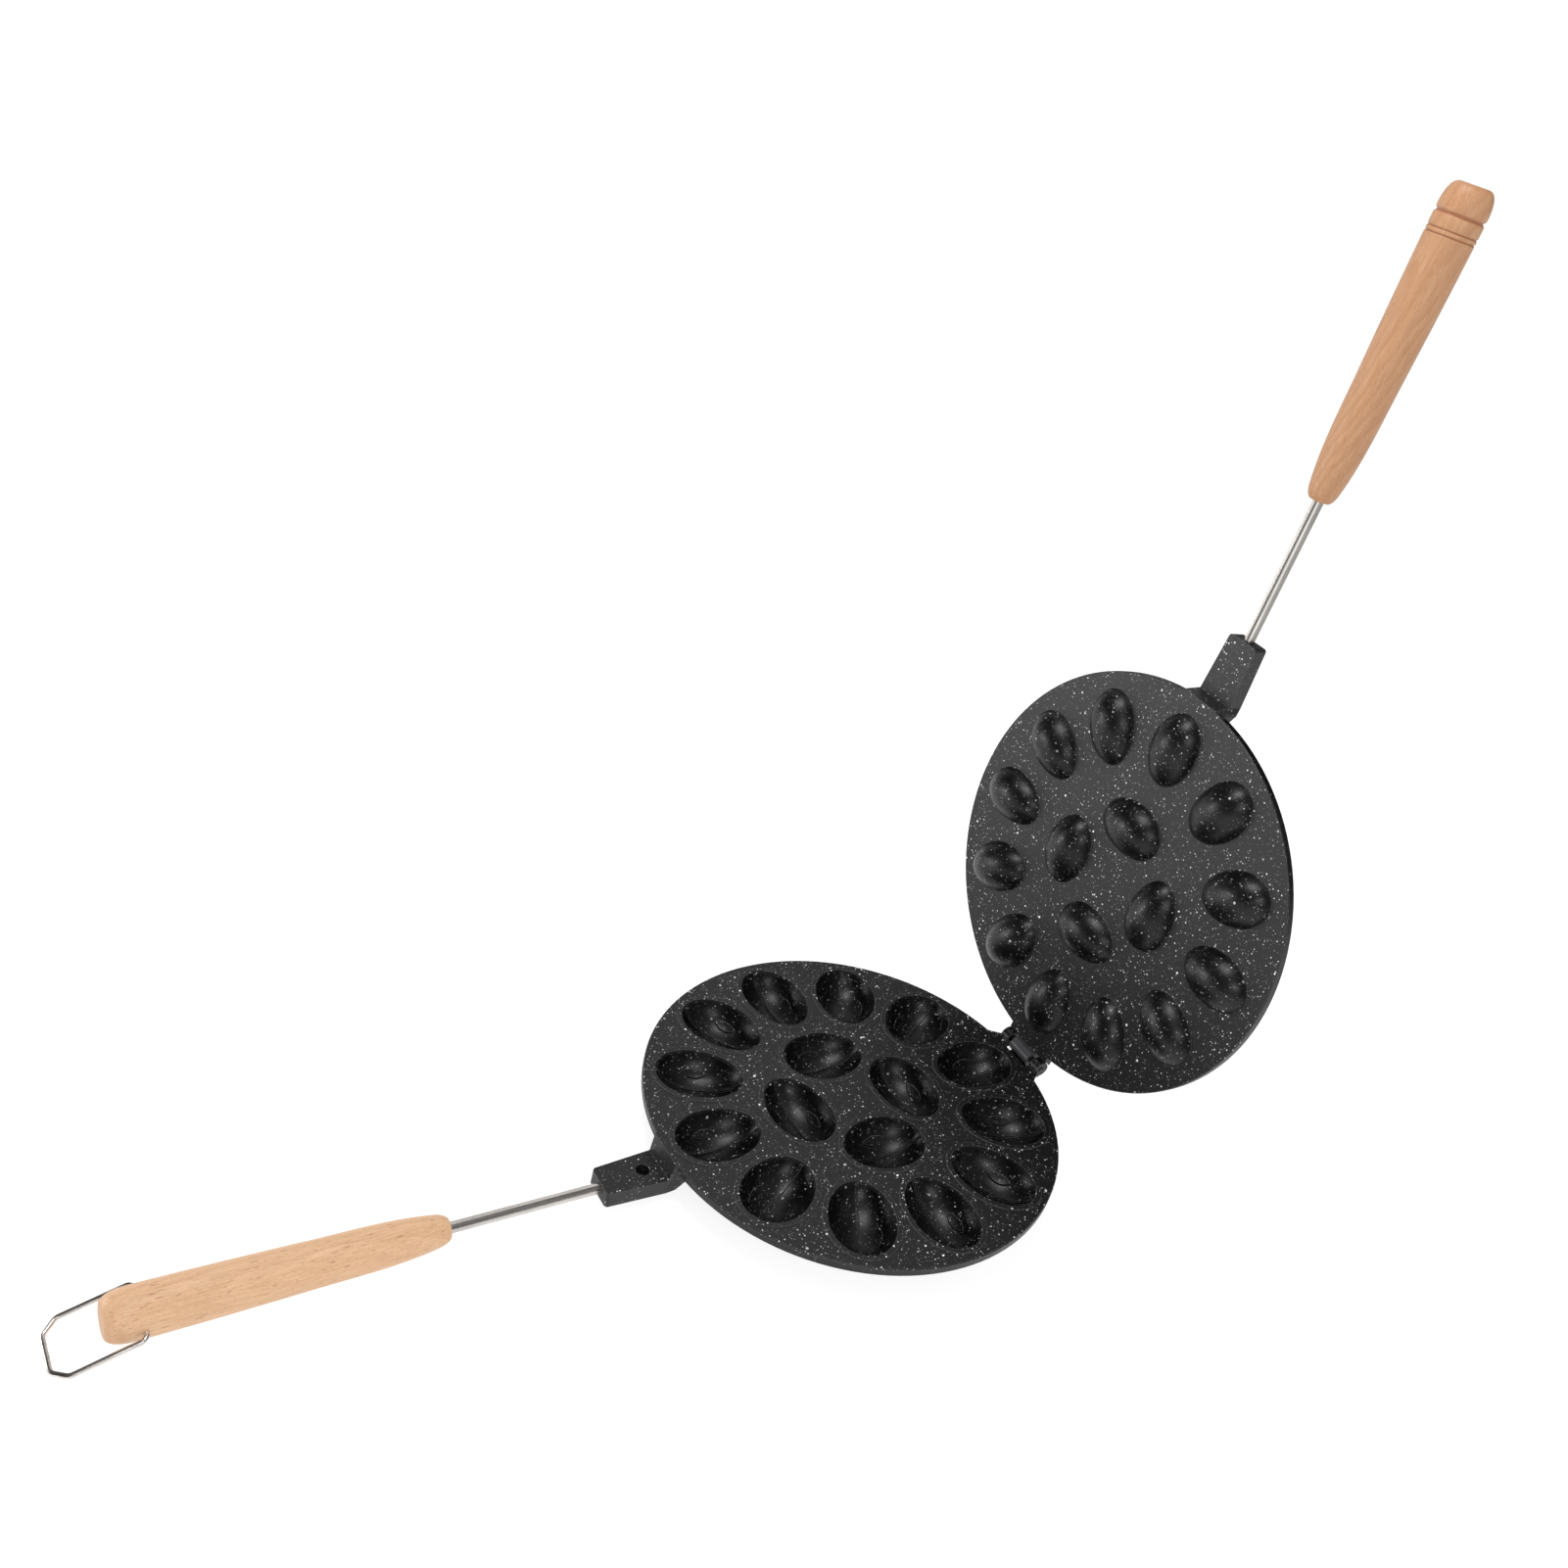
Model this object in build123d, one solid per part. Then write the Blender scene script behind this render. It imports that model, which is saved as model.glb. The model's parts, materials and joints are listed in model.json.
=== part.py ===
from build123d import *
import math
import os

# Hinged walnut cookie mold: two round cast halves joined by a hinge pin, each on a steel rod with a
# turned wooden grip, and a wire bail that holds the grips together. All sizes are in millimetres.
# It is modelled closed, with the lower parting face at z = 0, the handles towards -Y and the hinge
# at +Y. The upper half is then turned open, and the whole is moved onto its bounding box's base.

# Plates
plate_radius = 93.0
plate_thickness = 4.0
rim_chamfer = 0.4

# Walnut cavities and bumps
outer_ring_count = 12
outer_ring_radius = 68.4
inner_ring_count = 4
inner_ring_radius = 27.4
nut_half_width = 14.4
nut_wide_end = 17.8
nut_narrow_end = 20.8
nut_depth = 11.0
casting_wall = 2.6
dough_gap = 2.3
bump_wall = 4.0
lip_width = 2.2
lip_height = 0.4
lip_clearance = 0.1
seam_width = 1.2
seam_height = 0.9
seam_bow_radius = 95.0
seam_offset = 1.2
lobe_height = 0.9
lobe_length = 11.0
lobe_width = 3.2
lobe_offset = 8.2
mark_top = 0.6
first_turned_nut = 2

# Feet under three of the cavities
standing_height = 19.25
foot_radius = 6.0
footed_outer_nuts = (5, 7)
footed_inner_nut = 0

# Hinge
hinge_distance = 98.8
open_angle = 96.5
pin_radius = 1.6
pin_clearance = 0.06
pin_end_stand = 0.5
barrel_radius = 3.8
knuckle_width = 12.6
ear_gap = 2.2
ear_width = 4.8
ear_flare = 4.5
shoulder_clearance = 0.4
shoulder_end = 2.5
hinge_root = 12.0
tail_length = 8.0
stop_clearance = 0.2
stop_depth = 5.0

# Lugs that hold the rods
lug_length = 28.4
lug_top = 8.8
lug_bottom = 16.0
lug_end_half_width = 7.4
lug_root_half_width = 8.9
lug_flare_half_width = 10.4
lug_wall_slope = 1.2
lug_root_depth = 13.0
lug_end_round = 1.5
lug_hole_radius = 3.0
lug_hole_depth = 5.5
lug_hole_back = 19.2
socket_depth = 14.0

# Rods and grips
rod_radius = 2.3
rod_clearance = 0.03
rod_exposed = 63.2
lower_rise = 1.1
upper_rise = 0.8
grip_length = 122.0
grip_tip_radius = 4.7
grip_neck_radius = 6.3
grip_middle_radius = 8.6
grip_end_radius = 9.4
grip_tip_round = 2.0
grip_end_round = 4.5
grip_socket_depth = 45.0
knob_length = 11.0
bead_length = 5.6
fine_groove_spacing = 1.9
knob_groove_depth = 0.8
fine_groove_depth = 0.45
knob_groove_width = 1.8
fine_groove_width = 0.9

# Wire bail
wire_radius = 1.0
wire_clearance = 0.08
bail_half_width = 12.3
bail_length = 30.7
bail_corner_run = 5.2
bail_corner_drop = 4.6
bail_eye_round = 2.2
bail_corner_round = 3.4
bail_pin_depth = 4.0
bail_inset = 12.4
bail_floor_gap = 0.3

# Places worked out from the sizes above
closing_gap = lip_height + lip_clearance
hinge_height = closing_gap / 2
plate_floor = -plate_thickness
nut_radius = (nut_half_width**2 + nut_depth**2) / (2 * nut_depth)
nut_centre_height = nut_radius - nut_depth
nut_stretch = nut_radius / nut_half_width
foot_level = -standing_height
lug_end = -plate_radius - lug_length
rod_axis_height = (lug_top + lug_bottom) / 2
bail_along = rod_exposed + grip_length - bail_inset


def egg(grow):
    """Egg along X, wide end towards +X, larger by grow: z = 0 cuts it below its middle."""
    wide = nut_wide_end * nut_stretch + grow
    narrow = nut_narrow_end * nut_stretch + grow
    girth = nut_radius + grow
    wide_arc = EllipticalCenterArc((0, 0), wide, girth, 0, arc_size=90)
    narrow_arc = EllipticalCenterArc((0, 0), narrow, girth, 90, arc_size=90)
    axis_line = Line((-narrow, 0), (wide, 0))
    outline = make_face([wide_arc, narrow_arc, axis_line])
    return Pos(0, 0, nut_centre_height) * revolve(outline, Axis.X, 360)


def egg_lip():
    """Low land round a cavity, before the cavity is cut out of it."""
    wide = nut_wide_end + lip_width
    narrow = nut_narrow_end + lip_width
    girth = nut_half_width + lip_width
    wide_arc = EllipticalCenterArc((0, 0), wide, girth, -90, arc_size=180)
    narrow_arc = EllipticalCenterArc((0, 0), narrow, girth, 90, arc_size=180)
    return extrude(make_face([wide_arc, narrow_arc]), lip_height)


def nut_shift():
    """The egg's widest place lies this far outside the middle of its length."""
    return (nut_narrow_end - nut_wide_end) / 2


def nut_cavity(hand):
    """What a cavity takes out of the plate: an egg, less a bowed seam and a lobe."""
    reach = 2 * nut_narrow_end
    tall = nut_depth + casting_wall
    low = -tall / 2 - mark_top
    bow_centre = hand * (seam_bow_radius - seam_offset)
    bow_outer = Cylinder(seam_bow_radius + seam_width / 2, tall)
    bow_inner = Cylinder(seam_bow_radius - seam_width / 2, tall)
    near_nut = Pos(0, 0, low) * Box(2 * reach, reach, tall)
    seam = Pos(0, -bow_centre, low) * (bow_outer - bow_inner) & near_nut
    seam = seam - egg(-seam_height)
    half_chord = lobe_length / 2
    half_wide = lobe_width / 2
    lens_radius = (half_chord**2 + half_wide**2) / (2 * half_wide)
    lens_back = Pos(0, half_wide - lens_radius, 0) * Cylinder(lens_radius, tall)
    lens_front = Pos(0, lens_radius - half_wide, 0) * Cylinder(lens_radius, tall)
    lobe = Pos(0, hand * lobe_offset, low) * (lens_back & lens_front) - egg(-lobe_height)
    return egg(0) - seam - lobe


def nut_hand(number, first, count):
    """Half of a ring's cavities are left-handed and half right-handed."""
    return 1 if (number - first) % count < count / 2 else -1


def nut_places():
    """(place, hand) of each nut: outer ring pointing outwards, inner ring lying round the middle."""
    places = []
    step = 360 / outer_ring_count
    for number in range(outer_ring_count):
        spot = Rot(0, 0, number * step - 90) * Pos(outer_ring_radius + nut_shift(), 0, 0)
        places.append((spot, nut_hand(number, first_turned_nut, outer_ring_count)))
    step = 360 / inner_ring_count
    for number in range(inner_ring_count):
        spot = Rot(0, 0, number * step - 90) * Pos(inner_ring_radius, 0, 0) * Rot(0, 0, 90)
        places.append((spot, nut_hand(number, 0, inner_ring_count)))
    return places


def lug():
    """Bar below the parting face that carries the rod."""
    root = -plate_radius + lug_root_depth
    wall_top = -plate_radius - 0.3
    wall_foot = wall_top - lug_wall_slope
    side_view = Polyline(
        (root, 0),
        (wall_top, 0),
        (wall_foot, -lug_top),
        (lug_end, -lug_top),
        (lug_end, -lug_bottom),
        (wall_foot, -lug_bottom),
        (root, plate_floor),
        close=True,
    )
    bar = extrude(Plane.YZ * make_face(side_view), lug_flare_half_width, both=True)
    plan_view = Polyline(
        (lug_end_half_width, lug_end),
        (lug_root_half_width, wall_foot),
        (lug_flare_half_width, -plate_radius + 1.5),
        (lug_flare_half_width, root),
        (-lug_flare_half_width, root),
        (-lug_flare_half_width, -plate_radius + 1.5),
        (-lug_root_half_width, wall_foot),
        (-lug_end_half_width, lug_end),
        close=True,
    )
    plan = extrude(make_face(plan_view), 2 * lug_bottom, both=True)
    body = bar & plan
    end_edges = body.edges().filter_by(Axis.Z).group_by(Axis.Y)[0]
    return fillet(end_edges, lug_end_round)


def lug_hole():
    """Blind hole in the upper face of the lower half's lug."""
    return Pos(0, lug_end + lug_hole_back, -lug_top) * Cylinder(lug_hole_radius, lug_hole_depth * 2)


def along_rod(rise):
    """Place where the rod leaves the lug, +Y running out along it and rising by rise degrees."""
    return Pos(0, lug_end, -rod_axis_height) * Rot(-rise, 0, 0) * Rot(0, 0, 180)


def rod_socket(rise):
    """Blind bore in the lug's end, run past the end face."""
    length = socket_depth + rod_radius
    bore = Rot(90, 0, 0) * Cylinder(rod_radius + rod_clearance, length)
    return along_rod(rise) * Pos(0, length / 2 - socket_depth, 0) * bore


def disc(floor, height):
    blank = Pos(0, 0, floor + height / 2) * Cylinder(plate_radius, height)
    return chamfer(blank.edges().filter_by(GeomType.CIRCLE), rim_chamfer)


def ear_barrel(width, centre_x):
    barrel = Rot(0, 90, 0) * Cylinder(barrel_radius, width)
    return Pos(centre_x, hinge_distance, hinge_height) * barrel


def ears():
    """Two ears of the lower half, flared into its rim."""
    inner = knuckle_width / 2 + ear_gap
    outer = inner + ear_width
    root = plate_radius - hinge_root
    solids = []
    for side in (-1, 1):
        outline = Polyline(
            (side * inner, root),
            (side * inner, hinge_distance),
            (side * outer, hinge_distance),
            (side * outer, hinge_distance - barrel_radius / 2),
            (side * (outer + ear_flare), plate_radius - 2),
            (side * (outer + ear_flare), root),
            close=True,
        )
        web = Pos(0, 0, plate_floor) * extrude(make_face(outline), plate_thickness)
        solids.append(web)
        solids.append(ear_barrel(ear_width, side * (inner + outer) / 2))
    return solids


def shoulder():
    """Upper half's rim carried out to the ears, hollowed to clear their barrels."""
    root = plate_radius - hinge_root
    length = hinge_distance - shoulder_end - root
    width = knuckle_width + 2 * ear_gap + 2 * ear_width
    block = Box(width, length, plate_thickness)
    block = Pos(0, root + length / 2, closing_gap + plate_thickness / 2) * block
    relief = Rot(0, 90, 0) * Cylinder(barrel_radius + shoulder_clearance, 2 * width)
    return block - Pos(0, hinge_distance, hinge_height) * relief


def stop_ledge():
    """Ledge under the knuckle whose slanted end stops the upper half at its open angle."""
    turn = math.radians(open_angle - 90)
    top = plate_floor - stop_clearance
    bottom = top - stop_depth
    face = hinge_distance - stop_clearance
    root = plate_radius - hinge_root
    side_view = Polyline(
        (root, plate_floor / 2),
        (plate_radius - 1, plate_floor / 2),
        (plate_radius - 1, top),
        (face + (top - hinge_height) * math.tan(turn), top),
        (face + (bottom - hinge_height) * math.tan(turn), bottom),
        (root, bottom),
        close=True,
    )
    return extrude(Plane.YZ * make_face(side_view), knuckle_width / 2, both=True)


def pin_bore(clearance):
    length = 2 * plate_radius
    bore = Rot(0, 90, 0) * Cylinder(pin_radius + clearance, length)
    return Pos(0, hinge_distance, hinge_height) * bore


def make_lower_plate():
    span = 4 * plate_radius
    below_face = Pos(0, 0, plate_floor / 2 - span / 2) * Box(span, span, span)
    bulge = egg(casting_wall) & below_face
    lip = egg_lip()
    foot_length = standing_height - nut_depth - casting_wall / 2
    foot = Pos(0, 0, foot_level + foot_length / 2) * Cylinder(foot_radius, foot_length)
    footed = footed_outer_nuts + (outer_ring_count + footed_inner_nut,)
    places = nut_places()
    body = disc(plate_floor, plate_thickness)
    body = body + [place * bulge for place, hand in places]
    body = body + [places[number][0] * foot for number in footed]
    body = body + [place * lip for place, hand in places]
    body = body + [lug()] + ears() + [stop_ledge()]
    cavities = {hand: nut_cavity(hand) for hand in (-1, 1)}
    body = body - [place * cavities[hand] for place, hand in places]
    return body - lug_hole() - pin_bore(rod_clearance) - rod_socket(lower_rise)


def make_upper_plate():
    span = 4 * plate_radius
    face = closing_gap
    below_middle = Pos(0, 0, face + plate_thickness / 2 - span / 2) * Box(span, span, span)
    bump = egg(-dough_gap) & below_middle
    hollow = egg(-dough_gap - bump_wall)
    tongue_start = plate_radius - hinge_root
    tongue_length = hinge_distance + tail_length - tongue_start
    tongue = Box(knuckle_width, tongue_length, plate_thickness)
    tongue = Pos(0, tongue_start + tongue_length / 2, face + plate_thickness / 2) * tongue
    places = nut_places()
    body = disc(face, plate_thickness) + shoulder()
    body = body + [place * bump for place, hand in places]
    body = body + [tongue, ear_barrel(knuckle_width, 0)]
    body = body + Pos(0, 0, face) * mirror(lug(), Plane.XY)
    body = body - [place * hollow for place, hand in places]
    return body - pin_bore(pin_clearance) - Pos(0, 0, face) * mirror(rod_socket(upper_rise), Plane.XY)


def make_rod(rise):
    length = socket_depth + rod_exposed + grip_socket_depth
    rod = Pos(0, length / 2 - socket_depth, 0) * Rot(90, 0, 0) * Cylinder(rod_radius, length)
    rod = chamfer(rod.edges().filter_by(GeomType.CIRCLE), 0.4)
    return along_rod(rise) * rod


def grip_blank():
    """Turned grip about +Y, narrow end at y = 0, bored for the rod."""
    shoulder = grip_tip_round * 1.5
    profile_edges = [
        Line((0, 0), (grip_tip_radius, 0)),
        Spline(
            (grip_tip_radius, 0),
            (grip_neck_radius, shoulder + grip_tip_round),
            (grip_middle_radius, grip_length * 0.42),
            (grip_end_radius, grip_length - grip_end_round * 2),
            tangents=((1, 0.6), (0, 1)),
        ),
        Spline(
            (grip_end_radius, grip_length - grip_end_round * 2),
            (grip_end_radius - grip_end_round * 0.3, grip_length - grip_end_round * 0.4),
            (grip_end_radius - grip_end_round, grip_length),
            tangents=((0, 1), (-1, 0.1)),
        ),
        Line((grip_end_radius - grip_end_round, grip_length), (0, grip_length)),
        Line((0, grip_length), (0, 0)),
    ]
    blank = revolve(make_face(profile_edges), Axis.Y, 360)
    bore = Pos(0, grip_socket_depth / 2, 0) * Rot(90, 0, 0)
    return blank - bore * Cylinder(rod_radius + rod_clearance, grip_socket_depth)


def ring_groove(along, width, depth):
    """V-shaped groove cut round the thick end of a grip."""
    half_mouth = width / 2 * (1 + 1 / depth)
    outline = Polyline(
        (grip_end_radius - depth, along),
        (grip_end_radius + 1, along + half_mouth),
        (grip_end_radius + 1, along - half_mouth),
        close=True,
    )
    return revolve(make_face(outline), Axis.Y, 360)


def make_lower_grip():
    grip = grip_blank()
    hole_length = grip_end_radius + 1
    for side in (-1, 1):
        inner = grip_end_radius - bail_pin_depth
        hole = Rot(0, 90, 0) * Cylinder(wire_radius + wire_clearance, hole_length)
        grip = grip - Pos(side * (inner + hole_length / 2), grip_length - bail_inset, 0) * hole
    return along_rod(lower_rise) * Pos(0, rod_exposed, 0) * grip


def make_upper_grip():
    grip = grip_blank()
    knob_at = grip_length - knob_length
    grip = grip - ring_groove(knob_at, knob_groove_width, knob_groove_depth)
    for back in (bead_length, bead_length + fine_groove_spacing):
        grip = grip - ring_groove(knob_at - back, fine_groove_width, fine_groove_depth)
    return Pos(0, rod_exposed, 0) * grip


def make_hinge_pin():
    width = knuckle_width + 2 * ear_gap + 2 * ear_width + 2 * pin_end_stand
    pin = Rot(0, 90, 0) * Cylinder(pin_radius, width)
    pin = chamfer(pin.edges().filter_by(GeomType.CIRCLE), 0.4)
    return Pos(0, hinge_distance, hinge_height) * pin


def bail_pivot():
    return (along_rod(lower_rise) * Pos(0, bail_along, 0)).position


def make_bail():
    """Wire bail, hooked into both sides of the lower grip, its far end just above the surface."""
    inner = grip_end_radius - bail_pin_depth + wire_clearance * 2
    shoulder = bail_half_width - bail_corner_drop
    points = [
        (-inner, 0, 0),
        (-bail_half_width, 0, 0),
        (-bail_half_width, -bail_length + bail_corner_run, 0),
        (-shoulder, -bail_length, 0),
        (shoulder, -bail_length, 0),
        (bail_half_width, -bail_length + bail_corner_run, 0),
        (bail_half_width, 0, 0),
        (inner, 0, 0),
    ]
    rounds = [bail_eye_round] + [bail_corner_round] * 4 + [bail_eye_round]
    path = FilletPolyline(*points, radius=rounds)
    section = Plane(origin=points[0], z_dir=(-1, 0, 0)) * Circle(wire_radius)
    wire = sweep(section, path=path)
    pivot = bail_pivot()
    drop = pivot.Z - (foot_level + bail_floor_gap + wire_radius)
    droop = math.degrees(math.asin(drop / bail_length))
    return Pos(pivot) * Rot(droop, 0, 0) * wire


def open_upper(solid):
    hinge = Pos(0, hinge_distance, hinge_height)
    return hinge * Rot(-open_angle, 0, 0) * hinge.inverse() * solid


def make_parts():
    upper_frame = Pos(0, 0, closing_gap)
    upper_rod = upper_frame * mirror(make_rod(upper_rise), Plane.XY)
    upper_grip = along_rod(upper_rise) * make_upper_grip()
    upper_grip = upper_frame * mirror(upper_grip, Plane.XY)
    return {
        "lower_plate": make_lower_plate(),
        "hinge_pin": make_hinge_pin(),
        "lower_rod": make_rod(lower_rise),
        "lower_grip": make_lower_grip(),
        "bail_ring": make_bail(),
        "upper_plate": open_upper(make_upper_plate()),
        "upper_rod": open_upper(upper_rod),
        "upper_grip": open_upper(upper_grip),
    }


parts = make_parts()
box = Compound(children=[Compound(part.solids()) for part in parts.values()]).bounding_box()
base = Vector(-(box.min.X + box.max.X) / 2, -(box.min.Y + box.max.Y) / 2, -box.min.Z)
os.makedirs("parts", exist_ok=True)
for name, solid in parts.items():
    export_step(Pos(base) * solid, f"parts/{name}.step")

pivot = bail_pivot()
print("hinge axis at", base.Y + hinge_distance, base.Z + hinge_height)
print("bail axis at", base.Y + pivot.Y, base.Z + pivot.Z)
print("plate centre at", base.Y, base.Z)
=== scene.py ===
import json
import math

import bmesh
import bpy
from mathutils import Matrix, Quaternion, Vector


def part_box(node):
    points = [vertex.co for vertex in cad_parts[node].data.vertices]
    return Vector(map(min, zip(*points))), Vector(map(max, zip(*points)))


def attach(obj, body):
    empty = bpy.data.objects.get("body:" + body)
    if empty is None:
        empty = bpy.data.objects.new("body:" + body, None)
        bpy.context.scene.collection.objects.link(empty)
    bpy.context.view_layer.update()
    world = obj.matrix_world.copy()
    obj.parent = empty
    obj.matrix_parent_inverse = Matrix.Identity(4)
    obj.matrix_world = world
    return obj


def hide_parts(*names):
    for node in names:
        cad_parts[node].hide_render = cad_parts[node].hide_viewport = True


bl_info = {
    "name": "Walnut cookie mold finish",
    "version": (1, 0, 0),
    "blender": (4, 5, 0),
    "location": "View3D > Sidebar > Cookie mold",
    "description": "Finishes the castings, rods, grips and bail of a hinged cookie mold",
    "category": "Object",
}

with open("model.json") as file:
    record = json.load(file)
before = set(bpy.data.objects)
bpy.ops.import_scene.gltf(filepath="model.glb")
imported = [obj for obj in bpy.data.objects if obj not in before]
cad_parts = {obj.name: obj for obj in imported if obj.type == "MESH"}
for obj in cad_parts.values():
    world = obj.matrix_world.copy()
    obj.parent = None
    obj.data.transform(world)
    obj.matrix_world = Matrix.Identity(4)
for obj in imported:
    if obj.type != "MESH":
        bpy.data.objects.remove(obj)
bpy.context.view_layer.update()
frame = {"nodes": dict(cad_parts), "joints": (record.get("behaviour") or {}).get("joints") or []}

MM = 0.001
joints = {joint["name"]: joint for joint in frame["joints"]}
hinge_point = Vector(joints["plate_hinge"]["pos_m"])
bail_point = Vector(joints["bail_swing"]["pos_m"])
open_angle = math.radians(joints["plate_hinge"]["range_deg"][1])

SHARP_FROM = math.radians(40)
LATHE_SEGMENTS = {"rod": 64, "grip": 96}
WIRE_SEGMENTS = 24
BEND_STEPS = 10
SWELL_STEPS = 24
END_STEPS = 18
ROD_BEVEL = 0.4 * MM

# Specks are as soft as this at their edges, in millimetres
SPECK_EDGE = 0.1

# A grip's narrow end, as shares of its radius
TIP_SHARES = (0.5, 0.8, 0.92)

# A turned groove: place across it in half widths, and share of its depth
GROOVE_SHAPE = (
    (-1.25, 0.0),
    (-1.0, 0.12),
    (-0.25, 0.92),
    (0.0, 1.0),
    (0.25, 0.92),
    (1.0, 0.12),
    (1.25, 0.0),
)

# Each rod: its half, whether that is the upper one, how dark the painted
# reflection line on it is, and where the line runs, in millimetres from the rod's middle
RODS = (
    ("lower", False, 0.4, -0.9),
    ("upper", True, 0.95, -0.3),
)

# Sky, from straight down to straight up: place and grey
SKY_STOPS = ((0.0, 1.0), (0.5, 0.9), (0.7, 0.3), (1.0, 0.12))

# Suns: name, direction that they stand in, spread in degrees, strength
SUNS = (
    ("key_sun", (-0.5, -0.4, 1.0), 70, 0.25),
    ("fill_sun", (0.7, 0.2, 0.9), 90, 0.2),
)

# Soft boxes and panels: name, place from the hinge, width, height, brightness
BOXES = (
    ("front_left_box", (-0.67, -0.99, 0.13), 0.34, 0.24, 13.0),
    ("overhead_box", (-0.08, -0.27, 1.0), 0.24, 0.36, 16.0),
    ("right_box", (0.75, -0.5, 0.7), 0.3, 0.3, 9.0),
    ("front_right_box", (0.77, -0.76, 0.2), 0.4, 0.25, 1.0),
    ("back_left_panel", (-0.67, 0.44, 0.84), 0.9, 0.9, 0.8),
    ("back_right_panel", (0.55, 0.55, 0.85), 0.9, 0.9, 0.4),
    ("left_panel", (-1.1, 0.1, 0.35), 0.7, 0.5, 0.5),
    ("right_panel", (1.1, 0.35, 0.25), 0.6, 0.4, 0.5),
)

FLOOR_RADIUS = 30.0
FLOOR_DROP = 0.2 * MM
FLOOR_GLOW = 0.83
FLOOR_SHARE = 0.32

# The camera's place and aim, from the hinge
CAMERA_OFFSET = (0.3627, -0.4704, 0.4556)
CAMERA_AIM = (0.0, -0.1806, 0.1765)
CAMERA_ROLL = math.radians(14.63)
CAMERA_LENS = 35.53
CAMERA_SENSOR = 36.0


# Sizes and colours that a user would change


def length(name, description, millimetres):
    """A length property, given in millimetres and held in metres."""
    return bpy.props.FloatProperty(
        name=name,
        description=description,
        default=millimetres * MM,
        min=0.0,
        precision=5,
        unit="LENGTH",
        subtype="DISTANCE",
    )


def angle(name, description, degrees):
    """An angle property, given in degrees and held in radians."""
    return bpy.props.FloatProperty(
        name=name, description=description, default=math.radians(degrees), subtype="ANGLE"
    )


def colour(name, description, red, green, blue):
    """A colour property, given as the 0 to 255 values seen on screen."""
    linear = [(value / 255) ** 2.2 for value in (red, green, blue)]
    return bpy.props.FloatVectorProperty(
        name=name, description=description, default=linear, min=0.0, max=1.0, subtype="COLOR"
    )


class MoldSizes(bpy.types.PropertyGroup):
    """Sizes of the turned, drawn and bent pieces, and of what the coat follows."""

    hinge_distance: length("Hinge distance", "Hinge axis from the plate's centre", 98.8)
    plate_radius: length("Plate radius", "Outer radius of both plates", 93.0)
    closing_gap: length("Closing gap", "Gap between the closed plates", 0.5)
    lug_end: length("Lug end", "Lug's end face from the plate's centre", 121.4)
    rod_axis_height: length("Rod axis", "Rod's axis from the parting face, at the lug", 12.4)
    rod_radius: length("Rod radius", "Radius of the drawn rods", 2.3)
    rod_exposed: length("Rod shown", "Rod between its lug and its grip", 63.2)
    rod_in_lug: length("Rod in lug", "Depth of the rod in its lug", 14.0)
    rod_in_grip: length("Rod in grip", "Depth of the rod in its grip", 45.0)
    lower_rise: angle("Lower rise", "Slope of the lower rod towards the parting face", 1.1)
    upper_rise: angle("Upper rise", "Slope of the upper rod towards the parting face", 0.8)
    grip_length: length("Grip length", "Length of a turned grip", 122.0)
    grip_tip_radius: length("Tip radius", "Radius of a grip's narrow end", 4.7)
    grip_neck_radius: length("Neck radius", "Radius just behind the narrow end", 6.3)
    grip_middle_radius: length("Middle radius", "Radius near the middle", 8.6)
    grip_end_radius: length("End radius", "Radius of the thick end", 9.4)
    grip_end_round: length("End round", "Rounding of the thick end", 4.5)
    knob_length: length("Knob", "Knob beyond the deep groove", 11.0)
    bead_length: length("Bead", "Bead between the deep and the fine grooves", 5.6)
    fine_groove_spacing: length("Fine spacing", "Between the two fine grooves", 1.9)
    knob_groove_depth: length("Deep groove", "Depth of the knob's groove", 0.8)
    knob_groove_half: length("Deep groove half", "Half the width of the knob's groove", 0.9)
    fine_groove_depth: length("Fine groove", "Depth of the fine grooves", 0.45)
    fine_groove_half: length("Fine groove half", "Half the width of a fine groove", 0.45)
    wire_radius: length("Wire radius", "Radius of the bail's wire", 1.0)
    bail_half_width: length("Bail half width", "Arm's middle from the grip's axis", 12.3)
    bail_length: length("Bail length", "Far bar's middle from the bail's axis", 30.7)
    bail_corner_run: length("Corner run", "Length of a cut corner along the arm", 5.2)
    bail_corner_drop: length("Corner drop", "Length of a cut corner along the bar", 4.6)
    bail_eye_round: length("Eye round", "Bend where an arm turns into the grip", 2.2)
    bail_corner_round: length("Corner round", "Bends at the cut corners", 3.4)
    bail_pin_depth: length("Pin depth", "Depth of the wire in the grip", 4.0)
    speck_spacing: length("Speck spacing", "Mean distance between small specks", 1.15)
    knuckle_width: length("Knuckle width", "Width of the hinge knuckle", 12.6)
    barrel_radius: length("Barrel radius", "Outer radius of the hinge knuckle", 3.8)


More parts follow.
